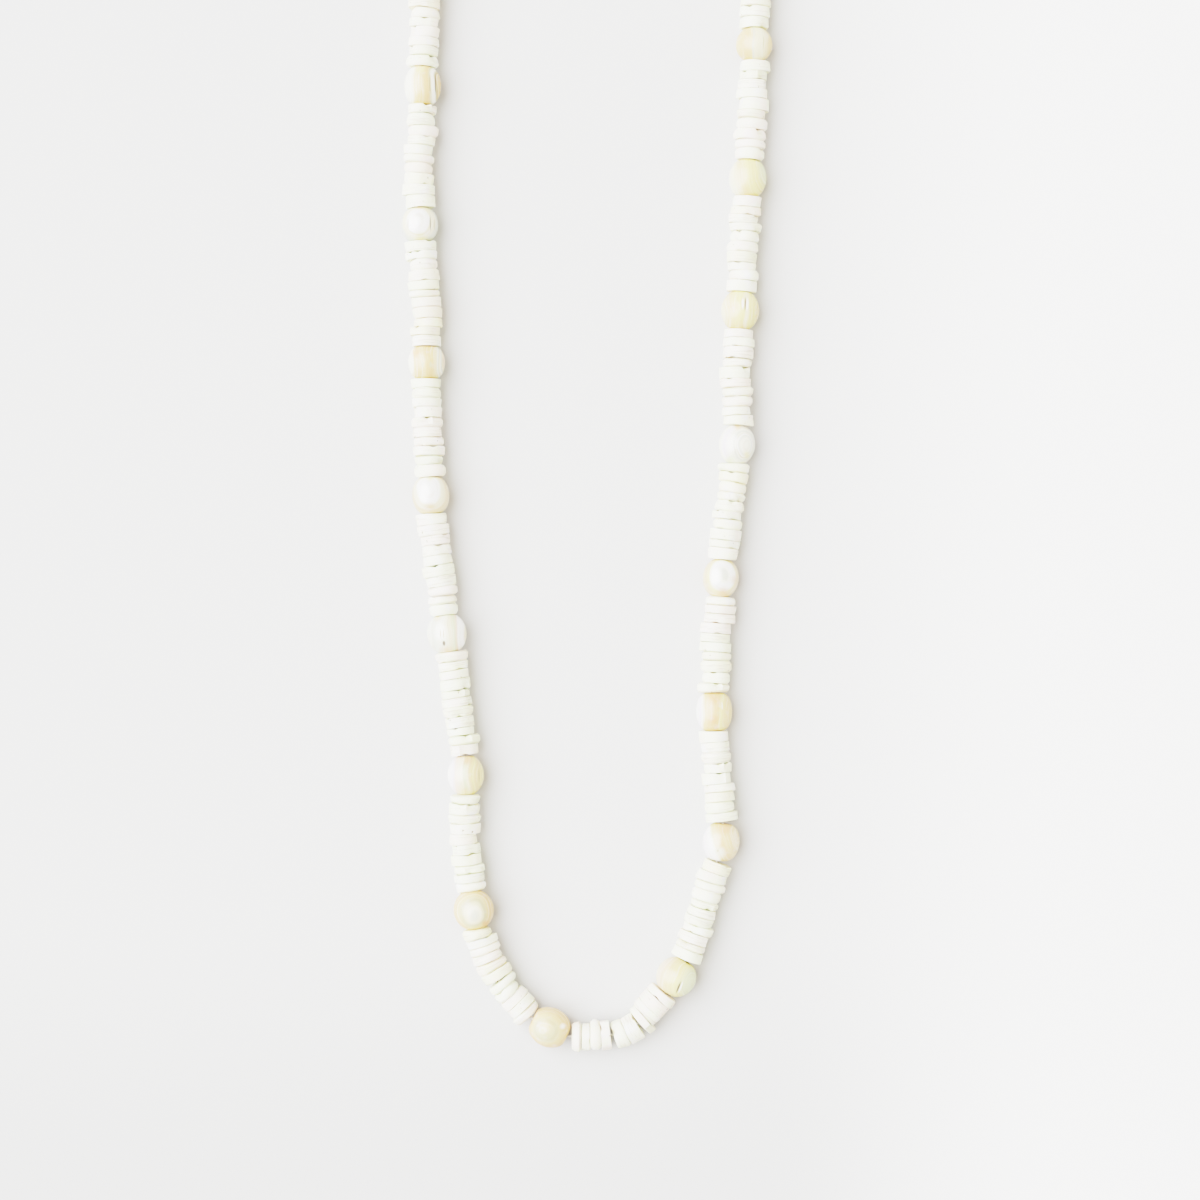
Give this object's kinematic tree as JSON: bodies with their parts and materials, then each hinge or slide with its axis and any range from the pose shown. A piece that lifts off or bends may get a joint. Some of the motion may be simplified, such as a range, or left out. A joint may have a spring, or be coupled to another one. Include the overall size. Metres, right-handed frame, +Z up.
{
  "type": "mother of pearl shell necklace",
  "caption": "Short necklace of thin drilled white shell discs with round mother of pearl beads between the runs, on one thread with a plain barrel clasp, lying in a long loop.",
  "frame": {"origin": "on the surface that the necklace lies on, under the middle of its bounding box", "axes": "+Z up from the surface; +Y along the loop from its rounded bottom towards the clasp at the back; +X across the loop"},
  "size_m": [0.0573, 0.1919, 0.0063],
  "materials": {
    "mother_of_pearl": "polished mother of pearl, cream and amber with a white sheen",
    "white_shell": "matte white shell, a little chalky, with worn edges",
    "thread": "pale twisted nylon thread",
    "clasp_metal": "satin silver-coloured metal"
  },
  "bodies": {
    "root": {"barrel_clasp": "clasp_metal", "pearl_bead_01": "mother_of_pearl", "pearl_bead_02": "mother_of_pearl", "pearl_bead_03": "mother_of_pearl", "pearl_bead_04": "mother_of_pearl", "pearl_bead_05": "mother_of_pearl", "pearl_bead_06": "mother_of_pearl", "pearl_bead_07": "mother_of_pearl", "pearl_bead_08": "mother_of_pearl", "pearl_bead_09": "mother_of_pearl", "pearl_bead_10": "mother_of_pearl", "pearl_bead_11": "mother_of_pearl", "pearl_bead_12": "mother_of_pearl", "pearl_bead_13": "mother_of_pearl", "pearl_bead_14": "mother_of_pearl", "pearl_bead_15": "mother_of_pearl", "pearl_bead_16": "mother_of_pearl", "pearl_bead_17": "mother_of_pearl", "pearl_bead_18": "mother_of_pearl", "pearl_bead_19": "mother_of_pearl", "pearl_bead_20": "mother_of_pearl", "shell_disc_run_01": "white_shell", "shell_disc_run_02": "white_shell", "shell_disc_run_03": "white_shell", "shell_disc_run_04": "white_shell", "shell_disc_run_05": "white_shell", "shell_disc_run_06": "white_shell", "shell_disc_run_07": "white_shell", "shell_disc_run_08": "white_shell", "shell_disc_run_09": "white_shell", "shell_disc_run_10": "white_shell", "shell_disc_run_11": "white_shell", "shell_disc_run_12": "white_shell", "shell_disc_run_13": "white_shell", "shell_disc_run_14": "white_shell", "shell_disc_run_15": "white_shell", "shell_disc_run_16": "white_shell", "shell_disc_run_17": "white_shell", "shell_disc_run_18": "white_shell", "shell_disc_run_19": "white_shell", "shell_disc_run_20": "white_shell", "shell_disc_run_21": "white_shell", "thread": "thread"}
  },
  "joints": []
}
